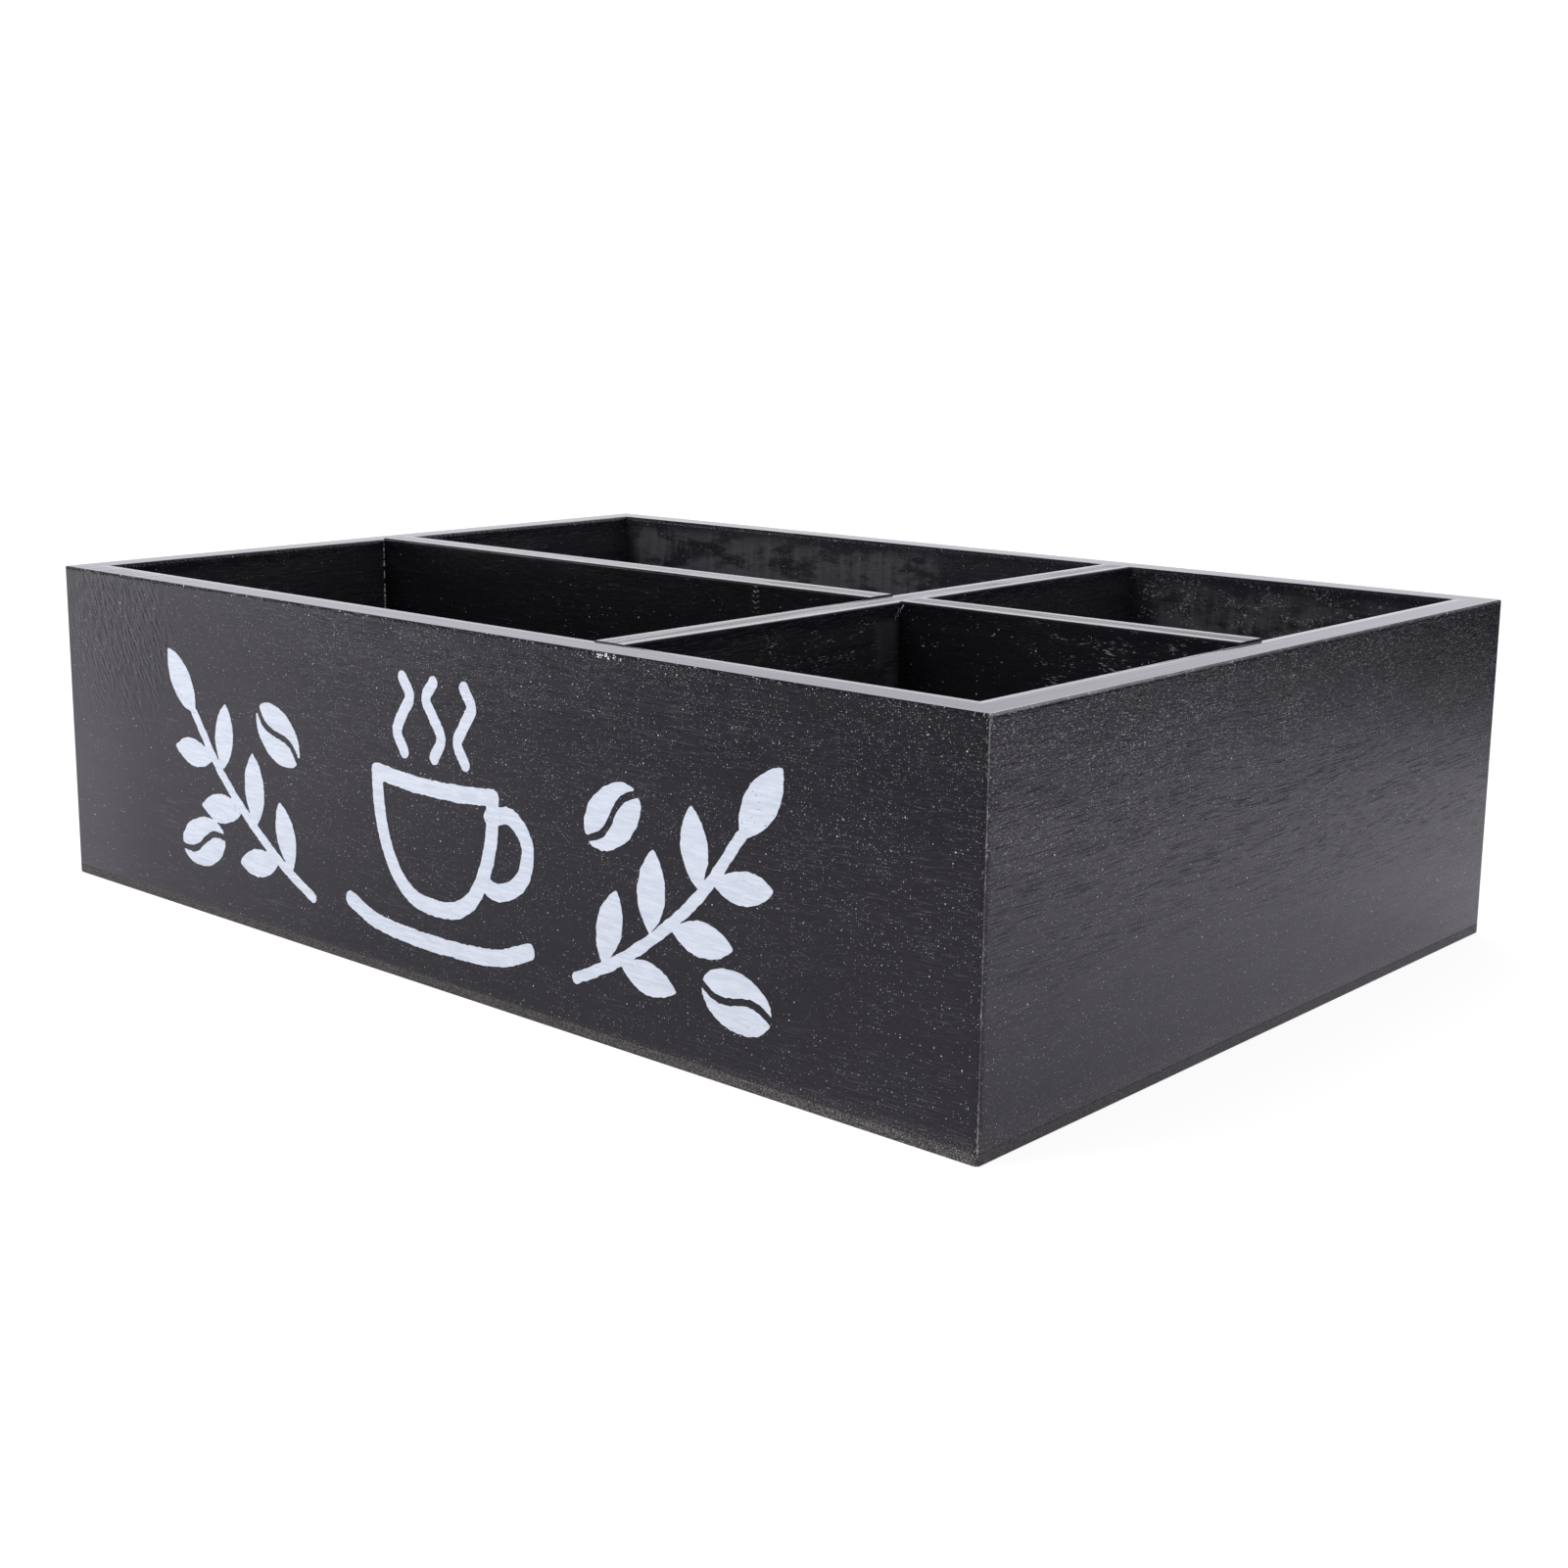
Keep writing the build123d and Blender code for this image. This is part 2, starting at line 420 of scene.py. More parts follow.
    def frost(self, strength, height=(58.0, 80.0)):
        """Fine light crumbs crowded towards the top of an outer face."""
        crumbs = self.noise(self.grain, (0.90, 0.28, 0.26), detail=1.0, roughness=0.7)
        patches = self.noise(self.grain, (26.0, 9.0, 9.0), detail=4.0, roughness=0.65)
        patches = self.both(self.step(patches, 0.20, 0.68), self.step(self.height, *height))
        mask = self.both(self.step(crumbs, 0.615, 0.67), patches, self.upright, self.outside, strength)
        self.cover(mask, FROST)

    def specks(self, cell, radius, share, strength=1.0):
        spots = self.dots(self.flat, cell, radius, share)
        self.cover(self.both(spots, self.upright, strength), DUST)

    def dust(self, density, lone=1.0):
        """Light specks in loose clusters, from fine to coarse, and a few lone ones between them."""
        clusters = self.step(self.noise(self.flat, (16.0, 9.0, 1.0), detail=5.0, roughness=0.72), 0.38, 0.66)
        crowd = self.both(self.spread(clusters, 0.16, 0.80), density)
        self.specks(0.55, 0.105, self.spread(crowd, 0.04 * lone, 0.78), strength=0.95)
        self.specks(1.6, 0.170, self.spread(crowd, 0.05 * lone, 0.50))
        self.specks(9.0, 0.22, self.spread(density, 0.35 * lone, 0.65))

    def arris_wear_and_highlight(self, foot_height=3.0, foot_share=0.6, frayed_depth=FRAYED_DEPTH, lip_highlight_share=0.0):
        """The upright arrises, the rim's outer arris and the foot rubbed to light specks; the rim's outer
        arris is also paler, partly a painted highlight.
        """
        bits = self.noise(self.place, (0.40, 0.40, 0.70), detail=2.0, roughness=0.7)
        runs = self.noise(self.place, (3.0, 3.0, 9.0), detail=2.0)
        self.rubbed_corners(bits, runs)
        self.lip_wear_and_highlight(bits, runs, lip_highlight_share)
        self.rubbed_foot(foot_height, foot_share)
        self.frayed_rim(frayed_depth)

    def rubbed_corners(self, bits, runs):
        """Light bits around the upright arrises, and a thin broken line along each."""
        corner = self.step(self.math("MAXIMUM", self.from_x, self.from_y), 1.2, 0.4)
        ends = self.math("ABSOLUTE", self.less(self.height, RIM / MM / 2))
        busy = self.math("MAXIMUM", self.step(ends, 24.0, 40.0), self.step(runs, 0.50, 0.62))
        self.cover(self.both(corner, busy, self.step(bits, 0.56, 0.66)), WORN)
        off_arris = self.math("ABSOLUTE", self.less(self.from_x, self.from_y))
        broken = self.spread(self.step(bits, 0.42, 0.62), 0.35, 1.0)
        arris = self.both(corner, self.step(off_arris, 0.28, 0.06), broken)
        self.cover(self.both(arris, self.spread(busy, 0.30, 0.8)), WORN)

    def lip_wear_and_highlight(self, bits, runs, share):
        """The rim's outer arris, rubbed paler by a share, partly a painted highlight, and dusty in runs."""
        lip = self.step(self.math("MAXIMUM", self.from_rim, self.side), 0.75, 0.25)
        self.cover(self.both(lip, self.spread(runs, 0.5, 1.3), share), RUBBED_AND_HIGHLIGHT)
        self.cover(self.both(lip, self.step(bits, 0.60, 0.68), self.step(runs, 0.46, 0.60)), DUST)

    def rubbed_foot(self, reach, share):
        """Light crumbs along the foot of an outer face, up to reach above its seam."""
        crumbs = self.noise(self.place, (0.42, 0.42, 0.36), detail=2.0, roughness=0.7)
        foot = self.both(self.step(self.from_seam, reach, 0.0), self.outside)
        self.cover(self.both(foot, self.step(crumbs, 0.50, 0.62), share), FOOT_SPECK)

    def frayed_rim(self, depth):
        """The faces turn over into the rim along a wandering line."""
        wander = self.both(self.spread(self.noise(self.place, (0.9, 0.9, 0.9)), -0.45, 0.45), self.upright)
        frayed = self.math("ADD", self.from_rim, wander)
        self.raise_by(self.step(frayed, 0.05, 1.0), depth)

    def rubbed_edge_and_highlight(self, off_edge, strength, reach=RUBBED_HIGHLIGHT_REACH):
        """A top's edge rubbed to a paler broken line, partly a painted highlight. off_edge is the distance
        from that edge.
        """
        breaks = self.spread(self.noise(self.grain, (12.0, 1.0, 1.0), detail=3.0), 0.25, 1.1)
        near = self.step(off_edge, reach, 0.45 * reach)
        self.cover(self.both(near, self.top, breaks, strength), RUBBED_AND_HIGHLIGHT)

    def rolled_edge(self, off_edge, reach=ROLLED_REACH, drop=ROLLED_DROP):
        """A top's edge rounded over further than the board's other arrises."""
        uneven = self.math("ADD", off_edge, self.spread(self.noise(self.grain, (6.0, 0.8, 0.8)), -0.25, 0.25))
        self.raise_by(self.both(self.step(uneven, 0.1, reach), self.top), drop)

    def streaked_top(self, width, depth):
        """Long shallow streaks that sanding and brushing leave on a top."""
        streaks = self.noise(self.grain, (45.0, width, width), detail=2.0)
        self.raise_by(self.both(self.step(streaks, 0.30, 0.70), self.top), depth)

    def wall_top(self):
        """A wall's top, rounded over along its inner edge."""
        self.streaked_top(2.2, STREAK_DEPTH)
        self.rolled_edge(self.from_inner)

    def near_wall_top(self):
        """A near wall's top, rubbed paler with a partly painted highlight and gently eased along its inner
        edge.
        """
        self.streaked_top(2.2, STREAK_DEPTH)
        self.rubbed_edge_and_highlight(self.from_inner, strength=0.35)
        self.rolled_edge(self.from_inner, EASED_REACH, EASED_DROP)

    def divider_top(self, off_far, off_near):
        """A divider's top, from the distances to its two edges, its edges rubbed paler with a partly painted
        highlight. Gives the mask of its middle.
        """
        self.streaked_top(1.7, DIVIDER_STREAK_DEPTH)
        self.rubbed_edge_and_highlight(off_far, strength=0.45)
        self.rolled_edge(off_far, EASED_REACH, EASED_DROP)
        self.rubbed_edge_and_highlight(off_near, strength=0.5, reach=2.8)
        self.rolled_edge(off_near)
        return self.step(self.math("MINIMUM", off_far, off_near), 1.6, 3.4)

    def ripples(self, centre, reach, lean):
        """Slanting brush marks where the paint lay thick."""
        away = self.distance(self.place, [v / MM for v in centre])
        near = self.step(away, reach, 0.15 * reach)
        turn = self.node("ShaderNodeVectorRotate", rotation_type="Z_AXIS")
        self.fill(turn, Vector=self.flat, Angle=-lean)
        waves = self.noise(turn.outputs[0], (3.4, 1.0, 1.0), detail=0.0, distortion=0.5)
        self.raise_by(self.both(waves, near), RIPPLE_HEIGHT)

    def smears(self, low, high, soft=3.0, strength=1.0):
        """Grey paint rubbed off in upright strokes."""
        strokes = self.noise(self.flat, (2.4, 22.0, 1.0), detail=3.0, roughness=0.65)
        rows = self.noise(self.flat, (20.0, 1.2, 1.0), detail=3.0, roughness=0.65)
        blots = self.noise(self.flat, (17.0, 7.0, 1.0), detail=4.0, roughness=0.62)
        edge = self.math("ADD", blots, self.spread(strokes, -0.09, 0.09))
        weave = self.both(self.spread(self.step(strokes, 0.3, 0.7), 0.55, 1.0), self.spread(rows, 0.7, 1.25))
        mask = self.both(self.step(edge, 0.40, 0.56), weave, self.spread(self.grit, 0.75, 1.2))
        self.cover(self.both(mask, self.patch(self.place, low, high, soft), self.upright, strength), SMEAR)

    def combed(self, centre, width, reach):
        """A faint upright row of short level strokes."""
        x, _, z = self.split(self.place)
        off = self.math("ABSOLUTE", self.less(x, centre[0]))
        rising = self.less(z, self.both(off, 0.5))
        rows = self.math("SINE", self.both(rising, COMB_PITCH))
        along = (centre[0] - width / 2, centre[0] + width / 2)
        low, high = beside_y(centre[1], along, (centre[2] - reach, centre[2] + reach))
        worn = self.step(self.noise(self.place, (0.9, 0.9, 0.9), detail=2.0), 0.36, 0.62)
        mask = self.both(self.step(rows, 0.45, 0.9), self.patch(self.place, low, high, 0.5), worn)
        fading = self.spread(self.step(self.from_rim, 2.0, 6.0), 0.36, 0.10)
        self.cover(self.both(mask, self.upright, fading), SCRATCH)

    def scratches(self, low, high, share, size, soft=3.0, colour=SCRATCH):
        """Short light scratches and dots along the grain."""
        marks = self.noise(self.fibre_space, size, detail=2.0, roughness=0.6)
        groups = self.noise(self.flat, (8.0, 4.0, 1.0), detail=3.0, roughness=0.6)
        limit = self.spread(self.step(groups, 0.40, 0.62), 0.82 - share, 0.68 - share)
        marks = self.step(self.less(marks, limit), 0.0, 0.018)
        self.cover(self.both(marks, self.patch(self.place, low, high, soft), self.upright), colour)

    def finish(
        self,
        top_streak=TOP_STREAK,
        top_range=TOP_ROUGHNESS,
        middle=1.0,
        face_range=FACE_ROUGHNESS,
    ):
        """Sets the roughness of tops and faces, and gives the material."""
        streaks = self.noise(self.grain, (14.0, 1.6, 3.0), detail=2.0)
        top_streaks = self.noise(self.grain, top_streak, detail=2.0)
        face = self.both(self.spread(streaks, *face_range), self.spread(self.outside, INNER_SMOOTHER, 1.0))
        top = self.spread(self.both(self.step(top_streaks, 0.25, 0.62), middle), *top_range)
        face = self.math("ADD", face, self.both(self.pores, 0.20))
        not_top = self.less(1.0, self.top)
        roughness = self.math("ADD", self.both(self.top, top), self.both(not_top, face))
        self.set(Base_Color=self.tone, Roughness=roughness, Normal=self.relief, IOR=PAINT_IOR)
        return self.set(Specular_Tint=(*GLOSS_TINT, 1.0))


def outer_dust(paint):
    """How dusty a wall is: more towards its top and its right end."""
    x = paint.split(paint.place)[0]
    rising = paint.spread(paint.step(paint.height, 10.0, RIM / MM), 0.35, 1.0)
    return paint.both(rising, paint.spread(paint.step(x, -110.0, -10.0), 0.15, 1.0))


def front_paint():
    paint = BoardPaint("front_black_paint", "x", (11.0, 3.0, 5.0))
    dusty = outer_dust(paint)
    x = paint.split(paint.place)[0]
    to_right = paint.step(x, -100.0, 30.0)
    higher = paint.spread(paint.step(paint.height, 50.0, 74.0), 0.25, 1.0)
    coarse = paint.both(dusty, higher, 0.8)
    pore_share = paint.both(to_right, higher)
    paint.wood(pore_share, pore_depth=0.08, coarse=coarse, thinness=0.46, thin_size=HAIRLINE_SIZE)
    # Painted sheen: paler towards the front face's left end and lower down
    pale = paint.both(paint.step(x, -105.0, -153.0), paint.step(paint.height, 90.0, 20.0), paint.outside)
    paint.cover(paint.both(pale, paint.upright, 0.20), PAINTED_END_SHEEN)
    paint.haze(paint.both(dusty, 0.18))
    patch = paint.both(paint.step(x, -75.0, -40.0), paint.step(x, 20.0, -10.0))
    paint.frost(paint.math("ADD", paint.both(patch, 0.05), paint.both(to_right, 0.10)))
    # Painted shade in the pores, at half strength
    paint.shade_pores(0.5)
    paint.dust(dusty)
    to_corner = paint.step(x, 20.0, 145.0)
    foot_height = paint.spread(to_corner, 1.0, 3.5)
    paint.arris_wear_and_highlight(foot_height, foot_share=paint.spread(to_corner, 0.2, 0.4))
    paint.near_wall_top()
    centre = (-HALF_WIDTH + 26 * MM, -HALF_DEPTH, RIM - 12 * MM)
    paint.ripples(centre, reach=38.0, lean=math.radians(-58))
    return paint.finish()


def right_paint():
    paint = BoardPaint("right_black_paint", "y", (410.0, 71.0, 13.0))
    dusty = outer_dust(paint)
    rising = paint.step(paint.height, 18.0, 56.0)
    coarse = paint.both(paint.spread(rising, 0.10, 1.0), dusty)
    pore_share = paint.spread(paint.step(paint.height, 18.0, 50.0), 0.10, 1.0)
    wavy = paint.spread(rising, 0.20, 0.45)
    paint.wood(pore_share, pore_depth=0.09, coarse=coarse, thinness=0.45, wavy=wavy, pore_size=LONG_PORE_SIZE)
    paint.haze(paint.both(dusty, 0.10))
    paint.frost(0.62, height=(36.0, 76.0))
    # Painted shade in the pores
    paint.shade_pores()
    paint.dust(dusty, lone=2.8)
    # The rim's outer arris paler towards the near end, partly painted highlight
    lip_highlight_share = paint.spread(paint.step(paint.split(paint.place)[1], 0.0, -60.0), 0.16, 0.34)
    paint.arris_wear_and_highlight(foot_height=6.0, foot_share=0.3, frayed_depth=SHALLOW_FRAYED, lip_highlight_share=lip_highlight_share)
    paint.near_wall_top()
    return paint.finish(face_range=RIGHT_FACE_ROUGHNESS)


def left_paint():
    paint = BoardPaint("left_black_paint", "y", (77.0, 15.0, 140.0))
    paint.wood()
    paint.haze(0.2, inner=0.17)
    paint.dust(0.15, lone=0.4)
    paint.arris_wear_and_highlight()
    paint.wall_top()
    return paint.finish()


def back_paint():
    """Its inner face is the most rubbed of all, above the dividers."""
    paint = BoardPaint("back_black_paint", "x", (230.0, 40.0, 61.0))
    inner_y = (HALF_DEPTH - WALL) / MM
    paint.wood()
    paint.haze(0.25, inner=0.09)
    paint.dust(0.08, lone=0.4)
    paint.arris_wear_and_highlight()
    paint.wall_top()
    paint.smears(*beside_y(inner_y, (-138.0, -14.0), (62.0, 81.0)))
    paint.smears(*beside_y(inner_y, (60.0, 130.0), (66.0, 80.0)), strength=0.75)
    paint.scratches(*beside_y(inner_y, (50.0, 132.0), (70.0, 82.0)), 0.10, BACK_DOT, colour=WORN)
    return paint.finish()


def cross_paint():
    """Its right face is scratched between the front wall and the other divider."""
    paint = BoardPaint("cross_black_paint", "y", (150.0, 33.0, 217.0))
    left, right = CROSS_LEFT / MM, CROSS_RIGHT / MM
    paint.wood()
    paint.haze(0.15, inner=0.17)
    paint.dust(0.10, lone=0.4)
    paint.scratches(*beside_x(right, (-54.0, -14.0), (70.0, 81.0)), 0.07, SHORT_SCRATCH)
    paint.smears(*beside_x(right, (-14.0, -5.5), (50.0, 80.0)), soft=1.2, strength=0.35)
    x = paint.split(paint.place)[0]
    middle = paint.divider_top(paint.less(x, left), paint.less(right, x))
    return paint.finish(CROSS_TOP_STREAK, DIVIDER_TOP_ROUGHNESS, middle)


def long_paint():
    """Its front face has a few dots on the left and more scratches on the right, and its upright faces are
    darkened with painted shade, most on the left.
    """
    paint = BoardPaint("long_black_paint", "x", (333.0, 90.0, 47.0))
    front, back = LONG_FRONT / MM, LONG_BACK / MM
    paint.wood()
    x, y, _ = paint.split(paint.place)
    to_right = paint.step(x, 50.0, 110.0)
    # Painted shade on the upright faces, heavier to the left
    paint.cover(paint.both(paint.upright, paint.spread(to_right, 0.8, 0.3)), PAINTED_SHADE)
    paint.haze(0.05, inner=0.03)
    paint.dust(0.03, lone=0.2)
    paint.scratches(*beside_y(front, (53.0, 136.0), (70.0, 82.0)), 0.0, RIGHT_DOT)
    paint.scratches(*beside_y(front, (92.0, 141.0), (66.0, 82.5)), 0.08, SHORT_SCRATCH, soft=8.0)
    paint.combed((5.9, front, 80.4), width=2.2, reach=3.4)
    paint.scratches(*beside_y(front, (-70.0, -5.0), (68.0, 80.0)), -0.02, LEFT_DOT)
    middle = paint.divider_top(paint.less(back, y), paint.less(y, front))
    dulled = paint.spread(paint.step(x, -70.0, 0.0), 0.25, 1.0)
    return paint.finish(LONG_TOP_STREAK, DIVIDER_TOP_ROUGHNESS, paint.both(middle, dulled))


def base_paint():
    """Fibreboard with a thin black stain: rough and brownish along its edge, plain and matt below."""
    paint = BoardPaint("base_board_stain", "x", (5.0, 9.0, 2.0))
    blotch = paint.noise(paint.place, (14.0, 14.0, 14.0), detail=3.0)
    paint.tone = paint.mix(blotch, STAIN_DARK, STAIN_LIGHT)
    crumbs = paint.noise(paint.place, (0.38, 0.38, 0.30), detail=2.0, roughness=0.7)
    felt = paint.noise(paint.place, (4.0, 4.0, 0.9), detail=2.0)
    front = paint.step(paint.from_y, 1.2, 0.4)
    edge = paint.math("MAXIMUM", paint.both(paint.step(paint.from_x, 1.2, 0.4), 0.55), front)
    x = paint.split(paint.place)[0]
    paler = paint.spread(paint.step(x, -120.0, 60.0), 0.85, 1.0)
    fuzz = paint.both(paint.step(crumbs, 0.38, 0.62), paint.spread(felt, 0.5, 1.0))
    paint.cover(paint.both(edge, fuzz, paler), BARE_FIBRE)
    bits = paint.step(paint.noise(paint.place, (0.34, 0.34, 0.30), detail=1.0), 0.60, 0.67)
    bright = paint.math("MAXIMUM", front, 0.45)
    paint.cover(paint.both(edge, bits, bright, paint.step(x, 0.0, 150.0)), WORN)
    paint.raise_by(crumbs, 0.12 * MM)
    roughness = paint.spread(front, *STAIN_ROUGHNESS)
    return paint.set(Base_Color=paint.tone, Roughness=roughness, Normal=paint.relief, IOR=STAIN_IOR)


def steel(name, colour):
    """Bright galvanised wire."""
    g = Graph(name)
    spangle = g.noise(millimetres(g), (0.8, 0.8, 0.8), detail=2.0)
    tone = g.mix(spangle, [0.75 * c for c in colour], colour)
    return g.set(Base_Color=tone, Metallic=1.0, Roughness=g.spread(spangle, 0.25, 0.45))


def white_paint():
    """Thin cool white paint, streaked along the wood's grain and rubbed through in small spots."""
    g = Graph("motif_white_paint")
    place = millimetres(g)
    streaks = g.noise(place, (6.0, 2.0, 0.6), detail=3.0, roughness=0.7)
    tone = g.mix(g.step(streaks, 0.3, 0.7), MOTIF_SHADE, MOTIF_PALE)
    pits = g.step(g.noise(place, (0.55, 0.55, 0.55), detail=2.0), 0.66, 0.72)
    tired = g.step(g.noise(place, (22.0, 22.0, 12.0), detail=1.0), 0.56, 0.68)
    tone = g.mix(g.both(pits, g.spread(tired, 0.1, 1.0)), tone, MOTIF_PIT)
    relief = g.bump(streaks, 0.05 * MM)
    return g.set(Base_Color=tone, Roughness=0.55, Normal=relief, IOR=1.45)


def plain_paint(name, light, dark, size, roughness):
    """A small bead or flake of dried glue or filler."""
    g = Graph(name)
    tone = g.mix(g.noise(millimetres(g), (size, size, size), detail=2.0), dark, light)
    return g.set(Base_Color=tone, Roughness=roughness, IOR=1.5)


def dress_boards():
    """Gives each node its own material."""
    looks = {
        "front_panel": front_paint(),
        "back_panel": back_paint(),
        "left_panel": left_paint(),
        "right_panel": right_paint(),
        "cross_divider": cross_paint(),
        "long_divider": long_paint(),
        "base_board": base_paint(),
        "corner_brads": steel("brad_steel_bright", (0.66, 0.65, 0.63)),
        "divider_brads": steel("brad_steel_plain", (0.62, 0.61, 0.59)),
        "base_staples": steel("staple_steel_bright", (0.64, 0.64, 0.64)),
    }
    for node, material in looks.items():
        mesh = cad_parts[node].data
        mesh.materials.clear()
        mesh.materials.append(material)


# The painted motif on the front: drawn in metres across the front face, from its middle and its foot
MOTIF_STEP = 0.4 * MM
MOTIF_LOW = Vector((-118 * MM, 6 * MM))
MOTIF_HIGH = Vector((118 * MM, 76 * MM))
MOTIF_THICKNESS = 0.12 * MM
MOTIF_SUNK = 0.04 * MM
STROKE = 3.9 * MM
THIN_STROKE = 3.1 * MM
LINE_STEPS = 8
WAVER = 0.13 * MM
WAVER_SIZES = (9.0, 5.0, 3.1, 2.0, 1.4)
BEAN_LENGTH = 19 * MM
BEAN_WIDTH = 12.5 * MM
SLIT_SWAY = 1.3 * MM
SLIT_HALF = 0.85 * MM
LOOP_TOLERANCE = 0.02 * MM
LONGEST_CHORD = 2 * MM
SMALLEST_LOOP = 1.5 * MM * MM


def smooth_line(points):
    """Points along a smooth line through given points."""
    knots = [Vector(p) * MM for p in points]
    knots = [2 * knots[0] - knots[1], *knots, 2 * knots[-1] - knots[-2]]
    line = []
    for a, b, c, d in zip(knots, knots[1:], knots[2:], knots[3:]):
        for i in range(LINE_STEPS):
            t = i / LINE_STEPS
            bend = (2 * a - 5 * b + 4 * c - d) * t ** 2
            twist = (3 * b - a - 3 * c + d) * t ** 3
            line.append(0.5 * (2 * b + (c - a) * t + bend + twist))
    return [*line, knots[-2]]


class Painting:
    """A field over the front face that is negative where there is paint."""

    def __init__(self):
        columns = np.arange(MOTIF_LOW.x, MOTIF_HIGH.x, MOTIF_STEP)
        rows = np.arange(MOTIF_LOW.y, MOTIF_HIGH.y, MOTIF_STEP)
        self.u, self.v = np.meshgrid(columns, rows)
        self.field = np.full(self.u.shape, 1.0)

    def add(self, distance):
        self.field = np.minimum(self.field, distance)

    def line_distance(self, points, width):
        """Distance to the edge of a round-ended stroke."""
        best = np.full(self.u.shape, 1.0)
        for a, b in zip(points, points[1:]):
            run = b - a
            share = ((self.u - a.x) * run.x + (self.v - a.y) * run.y) / max(run.length_squared, 1e-12)
            share = np.clip(share, 0.0, 1.0)
            reach = np.hypot(self.u - a.x - share * run.x, self.v - a.y - share * run.y)
            best = np.minimum(best, reach)
        return best - width / 2

    def turned(self, centre, angle):
        """The face's coordinates seen from centre, turned by angle."""
        du, dv = self.u - centre.x, self.v - centre.y
        c, s = math.cos(angle), math.sin(angle)
        return du * c + dv * s, dv * c - du * s

    def stroke(self, points, width=STROKE):
        self.add(self.line_distance(smooth_line(points), width))

    def leaf(self, base, angle, length, width):
        """An almond leaf, the overlap of two discs, with its stalk end at base."""
        middle = base + Vector((math.cos(angle), math.sin(angle))) * length / 2
        along, across = self.turned(middle, angle)
        radius = (length ** 2 + width ** 2) / (4 * width)
        offset = radius - width / 2
        upper = np.hypot(along, across + offset) - radius
        lower = np.hypot(along, across - offset) - radius
        self.add(np.maximum(upper, lower))

    def bean(self, centre, angle):
        """A filled oval parted by one S-shaped slit."""
        middle = Vector(centre) * MM
        along, across = self.turned(middle, math.radians(angle))
        oval = np.hypot(along / BEAN_LENGTH, across / BEAN_WIDTH) * 2 - 1
        bend = SLIT_SWAY * np.sin(along / BEAN_LENGTH * 2 * math.pi)
        slit = np.abs(across - bend) - SLIT_HALF
        self.add(np.maximum(oval * BEAN_WIDTH / 2, -slit))

    def roughen(self, seed):
        """Wavers the paint's edge as a loaded brush does."""
        rng = random.Random(seed)
        waver = np.zeros(self.u.shape)
        for size in WAVER_SIZES:
            for _ in range(3):
                angle = rng.uniform(0, math.pi)
                phase = rng.uniform(0, 2 * math.pi)
                wave = 2 * math.pi / (size * rng.uniform(0.8, 1.2) * MM)
                waver += np.sin((self.u * math.cos(angle) + self.v * math.sin(angle)) * wave + phase)
        self.field += waver * WAVER / len(WAVER_SIZES)

    def loops(self):
        """The closed outlines of the paint."""
        field = np.pad(self.field, 1, constant_values=1.0)
        start = Vector((self.u[0, 0], self.v[0, 0])) - Vector((MOTIF_STEP, MOTIF_STEP))
        return [[start + Vector(p) * MOTIF_STEP for p in loop] for loop in outlines(field)]


def cell_crossings(field, row, column):
    """Where the field crosses zero around one cell: whether it leaves the paint there, a key and the spot."""
    ring = [(row, column), (row, column + 1), (row + 1, column + 1), (row + 1, column)]
    crossings = []
    for first, second in zip(ring, ring[1:] + ring[:1]):
        leaves = field[first] < 0
        if leaves != (field[second] < 0):
            share = field[first] / (field[first] - field[second])
            key = (min(first, second), max(first, second))
            v, u = (float(a + (b - a) * share) for a, b in zip(first, second))
            crossings.append((leaves, key, (u, v)))
    return crossings


def outlines(field):
    """Closed loops where the field crosses zero, by marching squares with the crossings worked out."""
    inside = field < 0
    corners = inside[:-1, :-1], inside[:-1, 1:], inside[1:, 1:], inside[1:, :-1]
    code = sum(corner.astype(int) << bit for bit, corner in enumerate(corners))
    onward = {}
    for row, column in zip(*np.where((code > 0) & (code < 15))):
        crossings = cell_crossings(field, row, column)
        entering = [key for leaves, key, _ in crossings if not leaves]
        for leaves, key, spot in crossings:
            if leaves:
                onward[key] = (spot, entering.pop(0))
    loops = []
    while onward:
        key = next(iter(onward))
        loop = []
        while key in onward:
            spot, key = onward.pop(key)
            loop.append(spot)
        loops.append(loop)
    return loops


def thinned(loop, tolerance):
    """The loop without the points that its neighbours' line already gives."""
    kept = [loop[0]]
    for i in range(1, len(loop) - 1):
        chord = loop[i + 1] - kept[-1]
        off = loop[i] - kept[-1]
        away = abs(chord.x * off.y - chord.y * off.x) / max(chord.length, 1e-9)
        if away > tolerance or off.length > LONGEST_CHORD:
            kept.append(loop[i])
    return kept


def loop_area(loop):
    return abs(sum(a.x * b.y - a.y * b.x for a, b in zip(loop, loop[1:] + loop[:1]))) / 2


# The motif's lines, in millimetres
CUP_SIDE = [(-20, 48), (-19, 37), (-14.5, 26), (-8, 20.5)]
CUP_BOWL = [*CUP_SIDE, (0, 19.3), *[(-u, v) for u, v in reversed(CUP_SIDE)]]
CUP_RIM = [(-20, 48), (-7, 47), (7, 47), (20, 48)]
CUP_HANDLE = [(19, 43.5), (26, 44.5), (31, 39), (29, 31), (22, 27), (16.5, 28)]
SAUCER = [(-31, 15.5), (-20, 11.8), (0, 10.7), (20, 11.8), (31, 15.5)]
STEAM_FEET = ((-1, -10), (1, 0.5), (-1, 11))
STEAM_SWAY = 2.4
SPRIG_STEM = [(46, 13), (58, 19), (71, 28), (83, 39), (93, 52)]
STEM_WIDTH = 2.6 * MM
LEAF_OFF_STEM = 1.6 * MM
LEAF_FULLNESS = 0.44
